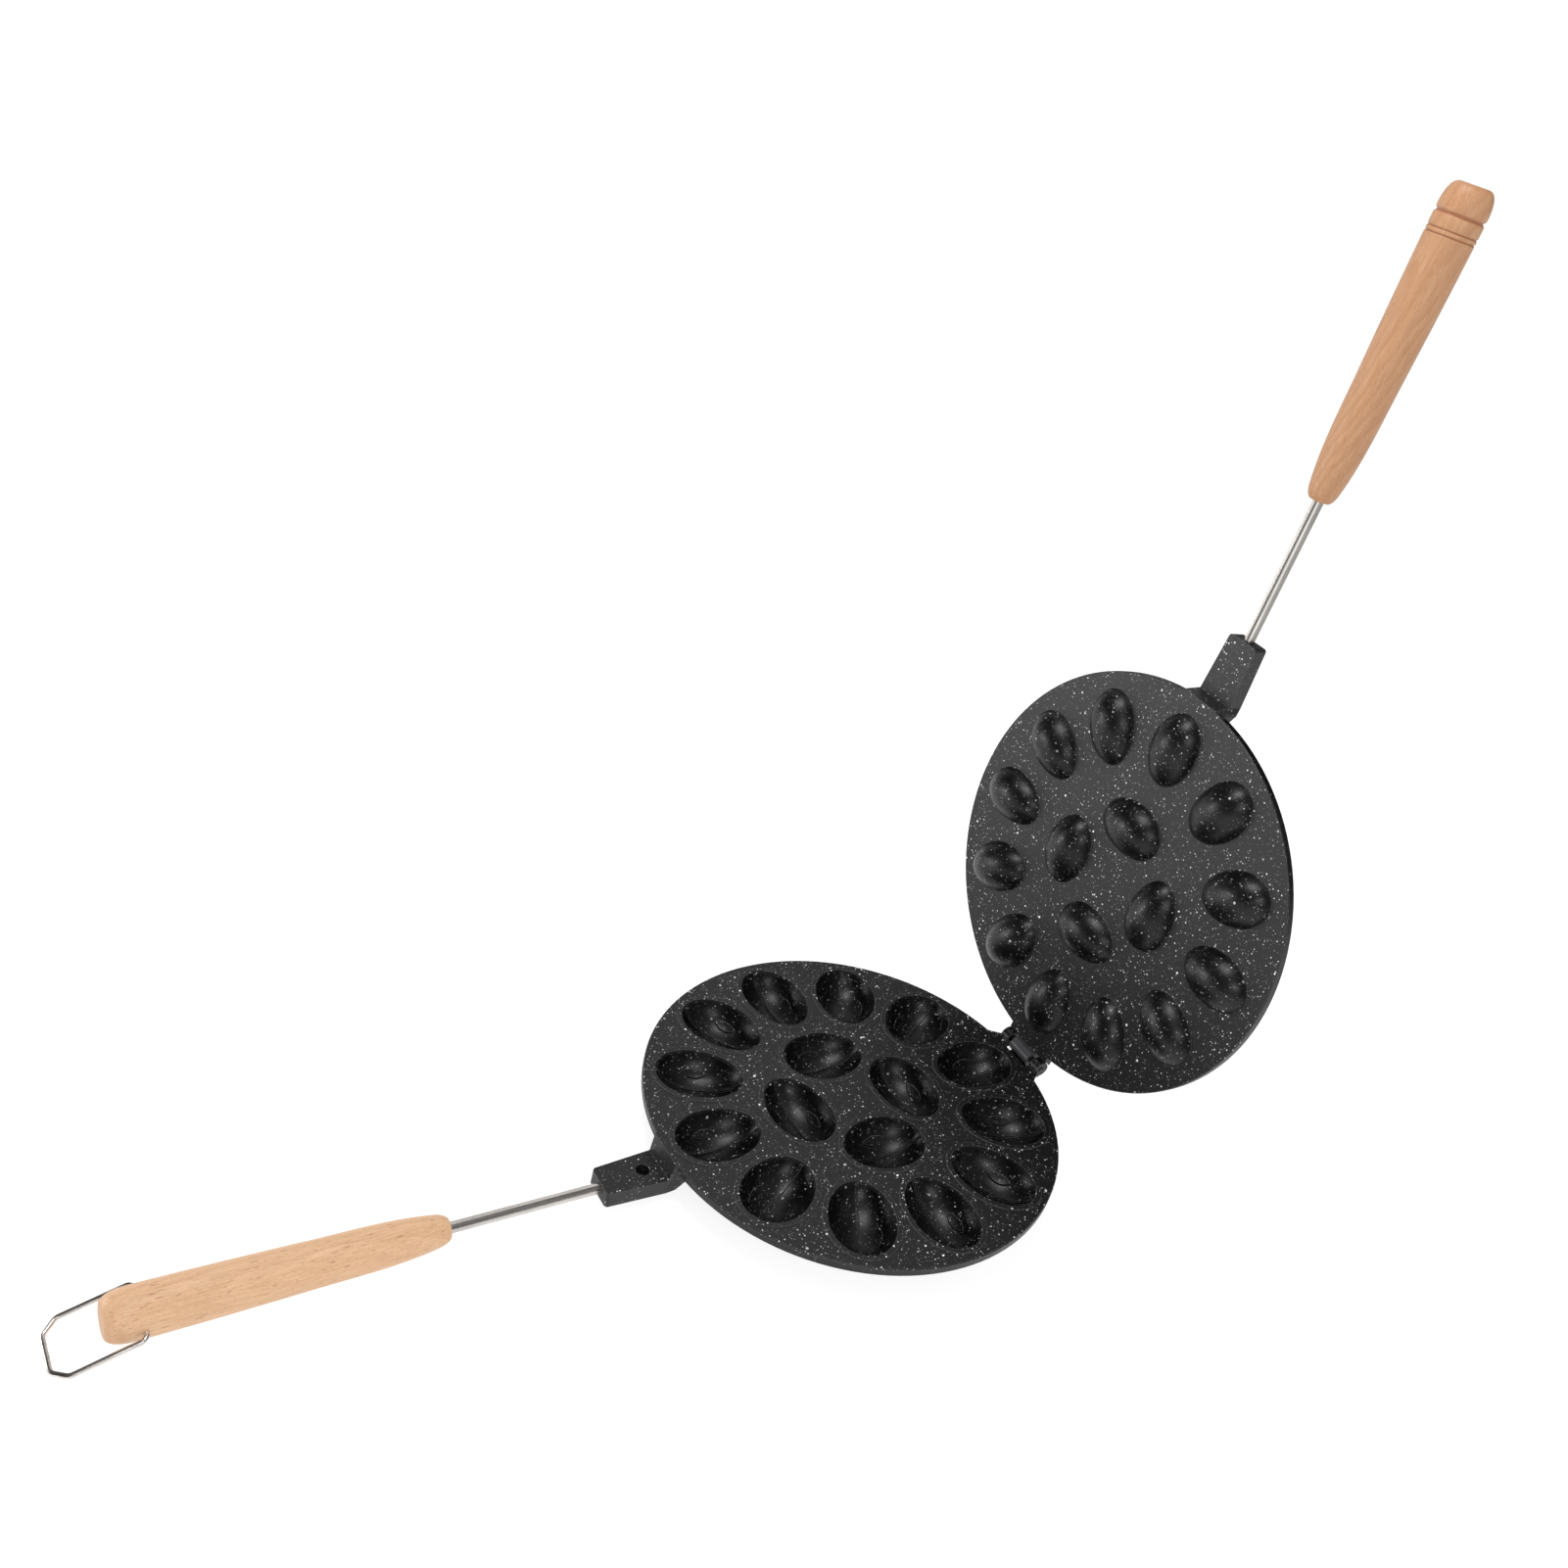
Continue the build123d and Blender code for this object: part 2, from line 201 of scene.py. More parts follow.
class MoldColours(bpy.types.PropertyGroup):
    """Colours of the finishes."""

    coating: colour("Coating", "Dark coat on the flat faces", 34, 34, 35)
    speck: colour("Speck", "Sprayed specks on the castings", 244, 244, 241)
    # Painted shade: the coat in the cavities and on the bumps is painted near black, standing in
    # for the dark surroundings that they mirror
    deep_coat_and_shade: colour("Deep coating", "Coat in the cavities and on the bumps", 8, 8, 9)
    # Painted highlight: the pale colour painted along the edges of the castings
    edge_highlight: colour("Worn edge", "Coat rubbed thin along the edges", 120, 120, 122)
    # Painted highlight: the knuckle's band is painted lighter than the coat, as the highlight
    # along the barrel
    bare_band_and_highlight: colour("Bare band", "Turned band on the hinge knuckle", 56, 56, 58)
    pale_beech: colour("Pale beech", "Ground colour of the lower grip", 204, 166, 131)
    warm_beech: colour("Warm beech", "Ground colour of the upper grip", 168, 127, 94)
    beech_fleck: colour("Beech fleck", "Short dark flecks in the wood", 142, 88, 58)
    nickel: colour("Nickel", "Plate on the rods and the bail", 232, 226, 220)
    pin_steel: colour("Pin steel", "Hinge pin", 70, 70, 72)
    floor: colour("Floor", "Studio floor", 252, 252, 252)


# Shader maths


class Value:
    """An output socket; arithmetic on one that carries a number adds Math nodes."""

    def __init__(self, nodes, socket):
        self.nodes = nodes
        self.socket = socket

    def output(self, name):
        """Another output of the node that this value comes from."""
        return Value(self.nodes, self.socket.node.outputs[name])

    def _math(self, operation, first, second=0.0):
        inputs = {0: first, 1: second}
        return self.nodes.node("ShaderNodeMath", {"operation": operation}, inputs)

    def __add__(self, other):
        return self._math("ADD", self, other)

    def __radd__(self, other):
        return self._math("ADD", other, self)

    def __sub__(self, other):
        return self._math("SUBTRACT", self, other)

    def __rsub__(self, other):
        return self._math("SUBTRACT", other, self)

    def __mul__(self, other):
        return self._math("MULTIPLY", self, other)

    def __rmul__(self, other):
        return self._math("MULTIPLY", other, self)

    def __pow__(self, other):
        return self._math("POWER", self, other)

    def __rpow__(self, other):
        return self._math("POWER", other, self)

    def __lt__(self, other):
        return self._math("LESS_THAN", self, other)

    def __gt__(self, other):
        return self._math("GREATER_THAN", self, other)

    def at_most(self, other):
        return self._math("MINIMUM", self, other)

    def at_least(self, other):
        return self._math("MAXIMUM", self, other)

    def wrapped(self):
        return self._math("FRACT", self)

    def size(self):
        return self._math("ABSOLUTE", self)

    def root(self):
        return self._math("SQRT", self)

    def ramp(self, low, high):
        """0 below low, 1 above high and a smooth rise between them."""
        settings = {"interpolation_type": "SMOOTHSTEP"}
        inputs = {"Value": self, "From Min": low, "From Max": high}
        return self.nodes.node("ShaderNodeMapRange", settings, inputs)


class Nodes:
    """Adds nodes to one shader tree and joins them."""

    def __init__(self, tree):
        self.tree = tree

    def node(self, kind, settings=None, inputs=None, output=0):
        """Adds a node, applies its settings first, then sets or links its inputs."""
        made = self.tree.nodes.new(kind)
        for name, value in (settings or {}).items():
            if name == "stops":
                self.set_stops(made.color_ramp, value)
            else:
                setattr(made, name, value)
        for name, value in (inputs or {}).items():
            self.feed(made.inputs[name], value)
        return Value(self, made.outputs[output])

    def set_stops(self, ramp, stops):
        """Gives a new ramp its greys, as (place, grey) from 0 to 1."""
        for place, _ in stops[1:-1]:
            ramp.elements.new(place)
        for element, (_, grey) in zip(ramp.elements, stops):
            element.color = (grey, grey, grey, 1.0)

    def feed(self, socket, value):
        """Links a value to a socket, or sets the socket to a constant."""
        if isinstance(value, Value):
            self.tree.links.new(value.socket, socket)
        elif socket.type == "RGBA" and len(value) == 3:
            socket.default_value = (*value, 1.0)
        else:
            socket.default_value = value

    def axes(self, vector):
        """The three numbers of a vector."""
        split = self.node("ShaderNodeSeparateXYZ", None, {0: vector})
        return split, split.output("Y"), split.output("Z")


class Finish(Nodes):
    """A material with one Principled shader, and the means to build what feeds it."""

    def __init__(self, name, **constants):
        self.material = bpy.data.materials.new(name)
        self.material.use_nodes = True
        super().__init__(self.material.node_tree)
        self.finish(**constants)

    def finish(self, **inputs):
        """Feeds the shader's inputs and returns the material."""
        shader = self.tree.nodes["Principled BSDF"]
        for name, value in inputs.items():
            label = name.replace("_", " ").title().replace("Ior", "IOR")
            self.feed(shader.inputs[label], value)
        return self.material

    def place(self, scale=(1.0, 1.0, 1.0), shift=(0.0, 0.0, 0.0)):
        """The point's place on its own object, in millimetres, scaled and shifted."""
        here = self.node("ShaderNodeTexCoord", output="Object")
        settings = {"operation": "MULTIPLY_ADD"}
        per_mm = tuple(axis / MM for axis in scale)
        return self.node("ShaderNodeVectorMath", settings, {0: here, 1: per_mm, 2: shift})

    def along(self, vector, direction):
        """How far a vector reaches along a direction."""
        settings = {"operation": "DOT_PRODUCT"}
        return self.node("ShaderNodeVectorMath", settings, {0: vector, 1: direction}, "Value")

    def facing(self, direction):
        """Cosine of the angle between the surface and a fixed direction of its own object."""
        return self.along(self.node("ShaderNodeTexCoord", output="Normal"), direction)

    def noise(self, where, scale, detail=2.0, output="Fac"):
        """Soft noise; its Color output has three independent numbers."""
        inputs = {"Vector": where, "Scale": scale, "Detail": detail}
        return self.node("ShaderNodeTexNoise", None, inputs, output)

    def grain(self, across, lengthwise, detail=2.0, output="Fac"):
        """Noise drawn out along the piece's Y axis; both scales are per millimetre."""
        return self.noise(self.place((across, lengthwise, across)), 1.0, detail, output)

    def shifted(self, where, push, amount):
        """A place pushed about by a colour centred on grey."""
        inputs = {0: push, 1: (0.5, 0.5, 0.5)}
        centred = self.node("ShaderNodeVectorMath", {"operation": "SUBTRACT"}, inputs)
        inputs = {0: centred, 1: (amount, amount, amount), 2: where}
        return self.node("ShaderNodeVectorMath", {"operation": "MULTIPLY_ADD"}, inputs)

    def cells(self, where, spacing):
        """Distance to the nearest scattered point, in spacings, and two numbers of its own."""
        settings = {"feature": "F1", "voronoi_dimensions": "3D"}
        inputs = {"Vector": where, "Scale": 1.0 / spacing}
        distance = self.node("ShaderNodeTexVoronoi", settings, inputs, "Distance")
        rank, shade, _ = self.axes(distance.output("Color"))
        return distance, rank, shade

    def mixed(self, share, first, second):
        """Colour that goes from first to second as share goes from 0 to 1."""
        settings = {"data_type": "RGBA"}
        return self.node("ShaderNodeMix", settings, {0: share, 6: first, 7: second}, 2)

    def bumps(self, height, distance, strength, normal=None):
        """Relief of the given height, on the given normal or on the surface's own."""
        inputs = {"Height": height, "Distance": distance, "Strength": strength}
        if normal is not None:
            inputs["Normal"] = normal
        return self.node("ShaderNodeBump", None, inputs)


def toned(shade, *tones):
    """A colour times one number, or times one number for each channel."""
    if len(tones) == 1:
        tones *= 3
    return tuple(min(1.0, value * tone) for value, tone in zip(shade, tones))


# Finishes


def specks(finish, where, spacing, most, power, least=0.0):
    """Round specks of mixed size and brightness; spacing and radii in millimetres."""
    distance, rank, shade = finish.cells(where, spacing)
    radius = rank**power * ((most - least) / spacing) + least / spacing
    edge = (radius - distance) * (spacing / SPECK_EDGE)
    return edge.at_least(0.0).at_most(1.0) * (shade * 0.6 + 0.4)


def sprayed_specks(finish, place, spacing):
    """Fine and large specks with ragged edges, dust between them, all thinner in patches."""
    ragged = finish.shifted(place, finish.noise(place, 1.6, 1.0, "Color"), 0.22)
    fine = specks(finish, ragged, spacing, most=0.38, power=2.5, least=0.02)
    large = specks(finish, ragged, spacing * 2.8, most=0.65, power=3.0)
    dust = specks(finish, place, spacing * 0.55, most=0.22, power=2.6) * 0.6
    patches = finish.noise(place, 0.06, 3.0).ramp(0.2, 0.55) * 0.5 + 0.5
    return fine.at_least(large).at_least(dust) * patches


def coated_casting(name, sizes, colours, outward):
    """Dark satin coat with pale specks, smoother in the cavities and on the bumps, which are
    painted blacker there as painted shade.
    """
    finish = Finish(name, ior=1.42)
    place = finish.place()
    from_hinge = finish.place(shift=tuple(-axis / MM for axis in hinge_point))
    off_face = (finish.along(from_hinge, outward) + sizes.closing_gap / 2 / MM).size()
    x, y, z = finish.axes(from_hinge)
    off_axis = (y * y + z * z).root()

    # Cavities and bumps lie off the parting face and inside the plate's rim
    rim = (sizes.hinge_distance + sizes.plate_radius) / MM - 1.0
    formed = off_face.ramp(0.15, 1.6) * (off_axis < rim)
    on_barrel = off_axis < sizes.barrel_radius / MM + 0.06
    band = on_barrel * (x.size() < sizes.knuckle_width / 2 / MM + 0.05)

    # Most specks land on the side that was sprayed, and none on the turned band
    sprayed_side = finish.facing(outward).ramp(-0.1, 0.45) * 0.75 + 0.25
    mask = sprayed_specks(finish, place, sizes.speck_spacing / MM) * sprayed_side
    mask = mask.at_most(1.0) * (1.0 - band) * (1.0 - formed * 0.5)

    coat = tuple(colours.coating)
    ground = finish.mixed(finish.noise(place, 0.35, 3.0), toned(coat, 0.78), coat)
    # Painted shade: the coat is painted darker towards the hinge axis, standing in for the shade
    # and dark reflection of the other half there
    ground = finish.mixed(off_axis.ramp(20.0, 120.0), toned(coat, 0.25), ground)
    # Painted shade: cavities and bumps are painted near black, standing in for the dark
    # surroundings that they mirror
    ground = finish.mixed(formed, ground, tuple(colours.deep_coat_and_shade))
    # Painted highlight: the speckless band on the knuckle is painted lighter, as the barrel's
    # highlight
    ground = finish.mixed(band, ground, tuple(colours.bare_band_and_highlight))

    # Painted highlight: a pale colour along the edges, where the rounded normal leaves the true
    # one
    rounded = finish.node("ShaderNodeBevel", {"samples": 6}, {"Radius": 0.25 * MM})
    true_normal = finish.node("ShaderNodeNewGeometry", output="Normal")
    edge = (1.0 - finish.along(rounded, true_normal)).ramp(0.01, 0.12) * (1.0 - band)
    ground = finish.mixed(edge * 0.6, ground, tuple(colours.edge_highlight))

    peel = finish.noise(place, 0.9) * 0.6 + finish.noise(place, 3.2, 1.0) * 0.15
    height = peel * (1.0 - formed * 0.9) + mask * 0.35
    satin = finish.noise(place, 0.6) * 0.1 + mask * 0.12 + 0.42
    return finish.finish(
        base_color=finish.mixed(mask, ground, tuple(colours.speck)),
        roughness=satin - formed * 0.08,
        normal=finish.bumps(height, 0.04 * MM, 0.6, rounded),
    )


def turned_beech(name, ground, fleck, end, ring_tilt, ring_contrast, fleck_strength, grooves=()):
    """Turned beech along the piece's Y axis: rings, flecks, pores, end grain, darker grooves."""
    finish = Finish(name, ior=1.46)
    x, y, z = finish.axes(finish.place())

    # Growth rings, round a pith that lies outside the piece
    wander = finish.grain(0.06, 0.018) * 9.0
    from_pith = ((x + y * ring_tilt - 16.0) ** 2.0 + (z + 5.0) ** 2.0).root() + wander
    ring = (from_pith * 0.34).wrapped()
    ring = ring.ramp(0.15, 1.0) - ring.ramp(0.93, 1.0)

    streaks = finish.grain(2.6, 0.09, 3.0)
    pores = finish.grain(6.0, 0.7).ramp(0.52, 0.7)
    drift = finish.grain(0.5, 0.06, 1.0, "Color")
    fleck_place = finish.shifted(finish.place((1.0, 0.16, 1.0)), drift, 0.8)
    distance, rank, shade = finish.cells(fleck_place, 0.85)
    flecks = (rank**1.2 * 0.36 - distance).ramp(0.0, 0.12) * (shade * 0.7 + 0.3)

    light = toned(ground, 1.12)
    shaded = toned(ground, 0.93, 0.9, 0.86)
    dark = toned(ground, 0.86, 0.76, 0.66)
    base = finish.mixed(streaks.ramp(0.3, 0.7), light, shaded)
    base = finish.mixed(ring * ring_contrast, base, dark)
    base = finish.mixed(pores * 0.32, base, fleck)
    base = finish.mixed(flecks * fleck_strength, base, fleck)
    base = finish.mixed(y.ramp(end - 2.5, end) * (streaks * 0.6 + 0.2), base, dark)
    for centre, half in grooves:
        # The grooves are painted darker
        in_groove = 1.0 - (y - centre).size().ramp(half * 0.35, half * 1.1)
        base = finish.mixed(in_groove * 0.75, base, fleck)
    height = streaks * 0.3 - pores * 0.5 - flecks * 0.5
    return finish.finish(
        base_color=base,
        roughness=streaks * 0.12 + pores * 0.08 + 0.42,
        normal=finish.bumps(height, 0.06 * MM, 0.5),
    )


def bright_nickel(name, shade, streak, roughness, line=0.0, across=0.0):
    """Nickel plate over drawn wire along the piece's Y axis, with dark streaks painted as
    reflections and, if asked, a painted reflection line and darker side.
    """
    finish = Finish(name, metallic=1.0)
    lines = finish.grain(14.0, 0.25)
    broad = finish.grain(0.75, 0.006, 1.0)
    cloud = finish.grain(0.25, 0.12)
    dark = toned(shade, 0.12)
    plate = finish.mixed(cloud.ramp(0.3, 0.8), tuple(shade), toned(shade, 0.86))
    # Dark streaks along the wire: drawn marks, painted near black as painted reflections of dark
    # surroundings
    plate = finish.mixed(broad.ramp(0.5, 0.6) * streak, plate, dark)
    if line:
        # Painted reflection: the side towards -X is painted darker and a dark line runs at
        # across, for dark surroundings that the nickel mirrors
        x, _, _ = finish.axes(finish.place())
        plate = finish.mixed((1.0 - x.ramp(-2.1, -1.3)) * line * 0.75, plate, dark)
        # Painted reflection: the dark line along the rod
        drawn = 1.0 - (x - across).size().ramp(0.4, 0.75)
        plate = finish.mixed(drawn * line, plate, dark)
    return finish.finish(
        base_color=plate,
        roughness=lines * 0.08 + cloud * 0.08 + roughness,
        normal=finish.bumps(lines, 0.01 * MM, 0.35),
    )


# Meshes


def make_object(name, mesh_data, material, place):
    """Links a smooth-shaded mesh object at the given place."""
    mesh = bpy.data.meshes.new(name)
    mesh_data.to_mesh(mesh)
    mesh_data.free()
    mesh.materials.append(material)
    mesh.shade_smooth()
    mesh.set_sharp_from_angle(angle=SHARP_FROM)
    made = bpy.data.objects.new(name, mesh)
    made.matrix_world = place
    bpy.context.scene.collection.objects.link(made)
    return made


def recoat(node, material):
    """Gives a CAD node one new material."""
    slots = frame["nodes"][node].data.materials
    slots.clear()
    slots.append(material)


def skin(built, rings):
    """Joins each ring of corners to the next."""
    for near, far in zip(rings, rings[1:]):
        for number in range(len(near)):
            after = (number + 1) % len(near)
            built.faces.new((near[number], near[after], far[after], far[number]))


def lathe(profile, segments):
    """Closed turned body about +Y from (radius, along) points; both ends close on the axis."""
    built = bmesh.new()
    rings = []
    for radius, along in profile:
        ring = []
        for number in range(segments):
            turn = 2 * math.pi * number / segments
            corner = (radius * math.cos(turn), along, radius * math.sin(turn))
            ring.append(built.verts.new(corner))
        rings.append(ring)
    skin(built, rings)
    for ring, along in ((rings[0], profile[0][1]), (rings[-1], profile[-1][1])):
        centre = built.verts.new((0, along, 0))
        for number in range(segments):
            built.faces.new((ring[number], ring[(number + 1) % segments], centre))
    bmesh.ops.recalc_face_normals(built, faces=built.faces)
    return built


def tube(path, radius, segments):
    """Round tube along a list of points, its ends closed."""
    built = bmesh.new()
    rings = []
    side = Vector((0, 0, 1))
    for number, point in enumerate(path):
        before = path[max(number - 1, 0)]
        after = path[min(number + 1, len(path) - 1)]
        along = (after - before).normalized()
        side = (side - along * side.dot(along)).normalized()
        other = along.cross(side)
        ring = []
        for step in range(segments):
            turn = 2 * math.pi * step / segments
            outward = side * math.cos(turn) + other * math.sin(turn)
            ring.append(built.verts.new(point + outward * radius))
        rings.append(ring)
    skin(built, rings)
    built.faces.new(rings[0])
    built.faces.new(rings[-1])
    bmesh.ops.recalc_face_normals(built, faces=built.faces)
    return built


def rounded_path(corners, rounds, steps):
    """Points along straight runs joined by arcs of the given radii."""
    path = [corners[0]]
    for before, corner, after, radius in zip(corners, corners[1:], corners[2:], rounds):
        arrive = (corner - before).normalized()
        leave = (after - corner).normalized()
        turn = arrive.angle(leave)
        start = corner - arrive * radius * math.tan(turn / 2)
        inward = (leave - arrive * arrive.dot(leave)).normalized()
        centre = start + inward * radius
        axis = arrive.cross(inward)
        for number in range(steps + 1):
            spin = Quaternion(axis, turn * number / steps)
            path.append(centre + spin @ (start - centre))
    path.append(corners[-1])
    return path


def smooth_through(points, slopes, steps):
    """Points on a cubic curve through (along, radius) points with the given slopes there."""
    curve = []
    for (low, high), (rise, fall) in zip(zip(points, points[1:]), zip(slopes, slopes[1:])):
        span = high[0] - low[0]
        for number in range(steps):
            share = number / steps
            square, cube = share**2, share**3
            radius = (
                (2 * cube - 3 * square + 1) * low[1]
                + (cube - 2 * square + share) * span * rise
                + (3 * square - 2 * cube) * high[1]
                + (cube - square) * span * fall
            )
            curve.append((radius, low[0] + span * share))
    return curve


def grip_profile(sizes, grooves):
    """Outline of a grip from its narrow end: rounded tip, long swell, grooves, round end."""
    swell_end = sizes.grip_length - 2 * sizes.grip_end_round
    points = (
        (0.9 * MM, sizes.grip_tip_radius + 0.35 * MM),
        (5.0 * MM, sizes.grip_neck_radius),
        (0.42 * sizes.grip_length, sizes.grip_middle_radius),
        (swell_end, sizes.grip_end_radius),
    )
    slopes = (0.55, 0.16, 0.022, 0.0)
    outline = [(sizes.grip_tip_radius * share, 0.0) for share in TIP_SHARES]
    outline += smooth_through(points, slopes, SWELL_STEPS)
    for number in range(END_STEPS + 1):
        turn = math.pi / 2 * number / END_STEPS
        shrink = sizes.grip_end_round * (1 - math.cos(turn) ** 0.8)
        along = swell_end + 2 * sizes.grip_end_round * math.sin(turn)
        outline.append((sizes.grip_end_radius - shrink, along))
    for centre, depth, half in grooves:
        outline = [point for point in outline if abs(point[1] - centre) > half * 1.3]
        for offset, cut in GROOVE_SHAPE:
            outline.append((sizes.grip_end_radius - depth * cut, centre + offset * half))
        outline.sort(key=lambda point: point[1])
    outline.append((0.6 * (sizes.grip_end_radius - sizes.grip_end_round), sizes.grip_length))
    return outline


# Places in the open mold


def turned_open(place):
    """A closed-mold place of the upper half, turned to where it rests open."""
    hinge = Matrix.Translation(hinge_point)
    return hinge @ Matrix.Rotation(-open_angle, 4, "X") @ hinge.inverted() @ place


def rod_place(sizes, upper):
    """Frame at the lug's end face with +Y running out along the rod."""
    side = 1 if upper else -1
    rise = sizes.upper_rise if upper else sizes.lower_rise
    out = hinge_point.y - sizes.hinge_distance - sizes.lug_end
    height = hinge_point.z + side * sizes.closing_gap / 2 + side * sizes.rod_axis_height
    lean = Matrix.Rotation(side * rise, 4, "X")
    place = Matrix.Translation((0, out, height)) @ lean @ Matrix.Rotation(math.pi, 4, "Z")
    return turned_open(place) if upper else place


# Operators


class MOLD_OT_castings(bpy.types.Operator):
    """Coats both cast halves."""

    bl_idname = "mold.castings"
    bl_label = "Coat the castings"

    def execute(self, context):
        sizes = context.scene.mold_sizes
        colours = context.scene.mold_colours
        upper_outward = Matrix.Rotation(-open_angle, 3, "X") @ Vector((0, 0, -1))
        for half, outward in (("lower", Vector((0, 0, 1))), ("upper", upper_outward)):
            coat = coated_casting(f"{half}_coating", sizes, colours, outward)
            recoat(f"{half}_plate", coat)
        return {"FINISHED"}


class MOLD_OT_rods(bpy.types.Operator):
    """Makes both nickel-plated rods."""

    bl_idname = "mold.rods"
    bl_label = "Make the rods"

    def execute(self, context):
        sizes = context.scene.mold_sizes
        shade = context.scene.mold_colours.nickel
        end = sizes.rod_exposed + sizes.rod_in_grip
        profile = [
            (sizes.rod_radius - ROD_BEVEL, -sizes.rod_in_lug),
            (sizes.rod_radius, ROD_BEVEL - sizes.rod_in_lug),
            (sizes.rod_radius, end - ROD_BEVEL),
            (sizes.rod_radius - ROD_BEVEL, end),
        ]
        for half, upper, line, across in RODS:
            nickel = bright_nickel(f"{half}_rod_nickel", shade, 0.25, 0.2, line, across)
            bar = lathe(profile, LATHE_SEGMENTS["rod"])
            rod = make_object(f"{half}_rod_bar", bar, nickel, rod_place(sizes, upper))
            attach(rod, f"{half}_half")
            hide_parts(f"{half}_rod")
        return {"FINISHED"}


class MOLD_OT_grips(bpy.types.Operator):
    """Turns both wooden grips."""

    bl_idname = "mold.grips"
    bl_label = "Turn the grips"

    def execute(self, context):
        sizes = context.scene.mold_sizes
        pale, warm = self.woods(context)
        kinds = (
            ("lower", False, pale, (), "pale_wood"),
            ("upper", True, warm, self.grooves(sizes), "warm_wood"),
        )
        for half, upper, wood, cuts, slot in kinds:
            turned = lathe(grip_profile(sizes, cuts), LATHE_SEGMENTS["grip"])
            place = rod_place(sizes, upper) @ Matrix.Translation((0, sizes.rod_exposed, 0))
            grip = make_object(f"{half}_turned_grip", turned, wood, place)
            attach(grip, f"{half}_half")
            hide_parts(f"{half}_grip")
        return {"FINISHED"}

    def grooves(self, sizes):
        """The upper grip's grooves: place from its narrow end, depth and half width."""
        deep = sizes.knob_groove_depth, sizes.knob_groove_half
        fine = sizes.fine_groove_depth, sizes.fine_groove_half
        knob = sizes.grip_length - sizes.knob_length
        bead = knob - sizes.bead_length
        return (knob, *deep), (bead, *fine), (bead - sizes.fine_groove_spacing, *fine)

    def woods(self, context):
        """The lower grip's pale beech and the upper grip's warm beech."""
        sizes = context.scene.mold_sizes
        colours = context.scene.mold_colours
        shared = {"fleck": tuple(colours.beech_fleck), "end": sizes.grip_length / MM}
        pale = turned_beech(
            "pale_beech",
            tuple(colours.pale_beech),
            ring_tilt=0.05,
            ring_contrast=0.35,
            fleck_strength=0.8,
            **shared,
        )
        warm = turned_beech(
            "warm_beech",
            tuple(colours.warm_beech),
            ring_tilt=0.17,
            ring_contrast=0.5,
            fleck_strength=0.4,
            grooves=[(centre / MM, half / MM) for centre, _, half in self.grooves(sizes)],
            **shared,
        )
        return pale, warm


class MOLD_OT_bail(bpy.types.Operator):
    """Bends the wire bail."""

    bl_idname = "mold.bail"
    bl_label = "Bend the bail"

    def execute(self, context):
        sizes = context.scene.mold_sizes
        nickel = bright_nickel("bail_nickel", context.scene.mold_colours.nickel, 0.2, 0.22)
        inner = sizes.grip_end_radius - sizes.bail_pin_depth
        wide = sizes.bail_half_width
        far = -sizes.bail_length
        shoulder = wide - sizes.bail_corner_drop
        half = [
            Vector((inner, 0, 0)),
            Vector((wide, 0, 0)),
            Vector((wide, far + sizes.bail_corner_run, 0)),
            Vector((shoulder, far, 0)),
        ]
        corners = half + [Vector((-point.x, point.y, 0)) for point in reversed(half)]
        eye, bend = sizes.bail_eye_round, sizes.bail_corner_round
        path = rounded_path(corners, (eye, bend, bend, bend, bend, eye), BEND_STEPS)

        # It hangs until its far bar is as low as the CAD bail's
        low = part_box("bail_ring")[0].z + sizes.wire_radius
        droop = math.asin((bail_point.z - low) / sizes.bail_length)
        place = Matrix.Translation(bail_point) @ Matrix.Rotation(droop, 4, "X")
        wire = tube(path, sizes.wire_radius, WIRE_SEGMENTS)
        bail = make_object("bail_wire_loop", wire, nickel, place)
        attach(bail, "bail")
        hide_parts("bail_ring")
        return {"FINISHED"}


class MOLD_OT_pin(bpy.types.Operator):
    """Finishes the hinge pin."""

    bl_idname = "mold.pin"
    bl_label = "Finish the hinge pin"

    def execute(self, context):
        shade = context.scene.mold_colours.pin_steel
        recoat("hinge_pin", bright_nickel("pin_steel", shade, 0.5, 0.28))
        return {"FINISHED"}


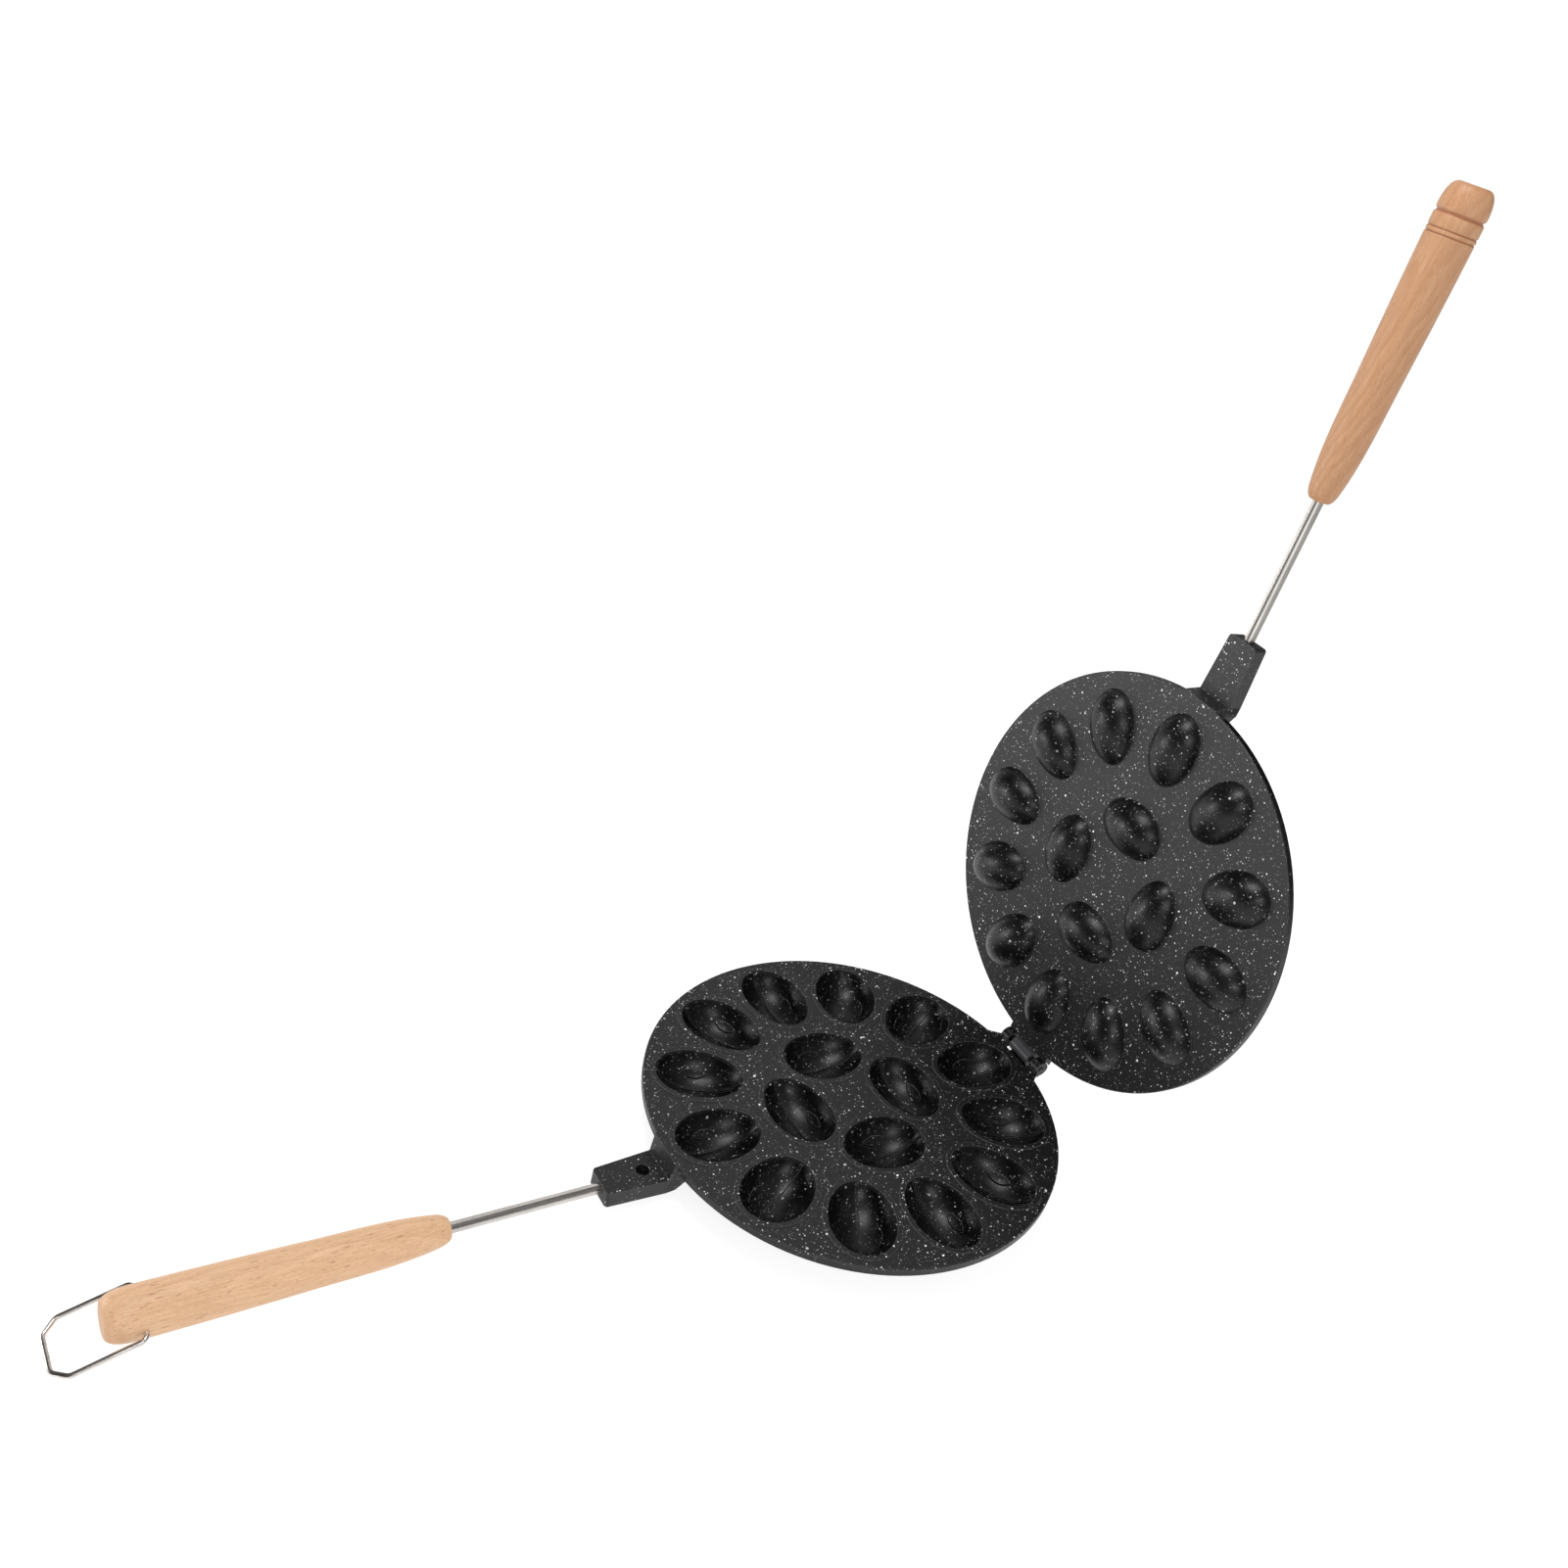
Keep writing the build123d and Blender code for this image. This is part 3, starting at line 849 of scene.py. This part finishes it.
class MOLD_OT_stage(bpy.types.Operator):
    """Sets the floor, the lights and the camera."""

    bl_idname = "mold.stage"
    bl_label = "Set the stage"

    def execute(self, context):
        self.lay_floor(context)
        self.light_air(context)
        self.hang_lights(context)
        self.set_camera(context)
        context.scene.view_settings.view_transform = "Standard"
        return {"FINISHED"}

    def lay_floor(self, context):
        """A pale floor that glows a little, so that only a faint shadow shows."""
        pale = Finish(
            "studio_floor",
            roughness=0.9,
            specular_ior_level=0.0,
            emission_strength=FLOOR_GLOW,
        )
        shade = toned(context.scene.mold_colours.floor, FLOOR_SHARE)
        clouds = pale.noise(pale.place(), 0.01)
        material = pale.finish(base_color=pale.mixed(clouds, shade, toned(shade, 0.98)))
        built = bmesh.new()
        bmesh.ops.create_circle(built, cap_ends=True, segments=64, radius=FLOOR_RADIUS)
        place = Matrix.Translation((0, 0, -FLOOR_DROP))
        make_object("studio_floor", built, material, place)

    def light_air(self, context):
        """Soft light from all sides, kept out of the reflections."""
        world = bpy.data.worlds.new("studio_air")
        world.use_nodes = True
        air = Nodes(world.node_tree)
        _, _, up = air.axes(air.node("ShaderNodeTexCoord", output="Generated"))
        sky = air.node("ShaderNodeValToRGB", {"stops": SKY_STOPS}, {"Fac": up}, "Color")
        air.feed(world.node_tree.nodes["Background"].inputs["Color"], sky)
        context.scene.world = world
        world.cycles_visibility.glossy = False

    def hang_lights(self, context):
        """Suns that light without a reflection, and boxes that the glossy coat mirrors."""
        for name, spot, spread, power in SUNS:
            data = bpy.data.lights.new(name, "SUN")
            data.angle = math.radians(spread)
            data.energy = power
            sun = self.hang(context, data, Vector(spot), Vector((0, 0, 0)))
            sun.visible_glossy = False
        for name, offset, wide, tall, brightness in BOXES:
            data = bpy.data.lights.new(name, "AREA")
            data.shape = "RECTANGLE"
            data.size = wide
            data.size_y = tall
            data.energy = brightness * wide * tall * math.pi
            self.hang(context, data, hinge_point + Vector(offset), hinge_point)

    def hang(self, context, data, spot, aim):
        """Places a lamp and points it."""
        lamp = bpy.data.objects.new(data.name, data)
        lamp.location = spot
        lamp.rotation_euler = (aim - spot).to_track_quat("-Z", "Y").to_euler()
        context.scene.collection.objects.link(lamp)
        return lamp

    def set_camera(self, context):
        """Looks at the open mold from the photograph's side."""
        data = bpy.data.cameras.new("photo_view")
        data.sensor_width = CAMERA_SENSOR
        data.lens = CAMERA_LENS
        camera = bpy.data.objects.new("photo_view", data)
        spot = hinge_point + Vector(CAMERA_OFFSET)
        aim = hinge_point + Vector(CAMERA_AIM)
        roll = Quaternion((0, 0, 1), CAMERA_ROLL)
        camera.rotation_mode = "QUATERNION"
        camera.location = spot
        camera.rotation_quaternion = (aim - spot).to_track_quat("-Z", "Y") @ roll
        context.scene.collection.objects.link(camera)
        context.scene.camera = camera


steps = (
    MOLD_OT_castings,
    MOLD_OT_pin,
    MOLD_OT_rods,
    MOLD_OT_grips,
    MOLD_OT_bail,
    MOLD_OT_stage,
)


class MOLD_PT_sidebar(bpy.types.Panel):
    """Lists the steps and the values that they read."""

    bl_idname = "MOLD_PT_sidebar"
    bl_label = "Cookie mold"
    bl_space_type = "VIEW_3D"
    bl_region_type = "UI"
    bl_category = "Cookie mold"

    def draw(self, context):
        for step in steps:
            self.layout.operator(step.bl_idname)
        for values in (context.scene.mold_sizes, context.scene.mold_colours):
            for name in values.__annotations__:
                self.layout.prop(values, name)


classes = (MoldSizes, MoldColours, *steps, MOLD_PT_sidebar)


def register():
    for one in classes:
        bpy.utils.register_class(one)
    bpy.types.Scene.mold_sizes = bpy.props.PointerProperty(type=MoldSizes)
    bpy.types.Scene.mold_colours = bpy.props.PointerProperty(type=MoldColours)


def unregister():
    del bpy.types.Scene.mold_colours
    del bpy.types.Scene.mold_sizes
    for one in reversed(classes):
        bpy.utils.unregister_class(one)


def main():
    register()
    bpy.ops.mold.castings()
    bpy.ops.mold.pin()
    bpy.ops.mold.rods()
    bpy.ops.mold.grips()
    bpy.ops.mold.bail()
    bpy.ops.mold.stage()
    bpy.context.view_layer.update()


if __name__ == "__main__":
    main()
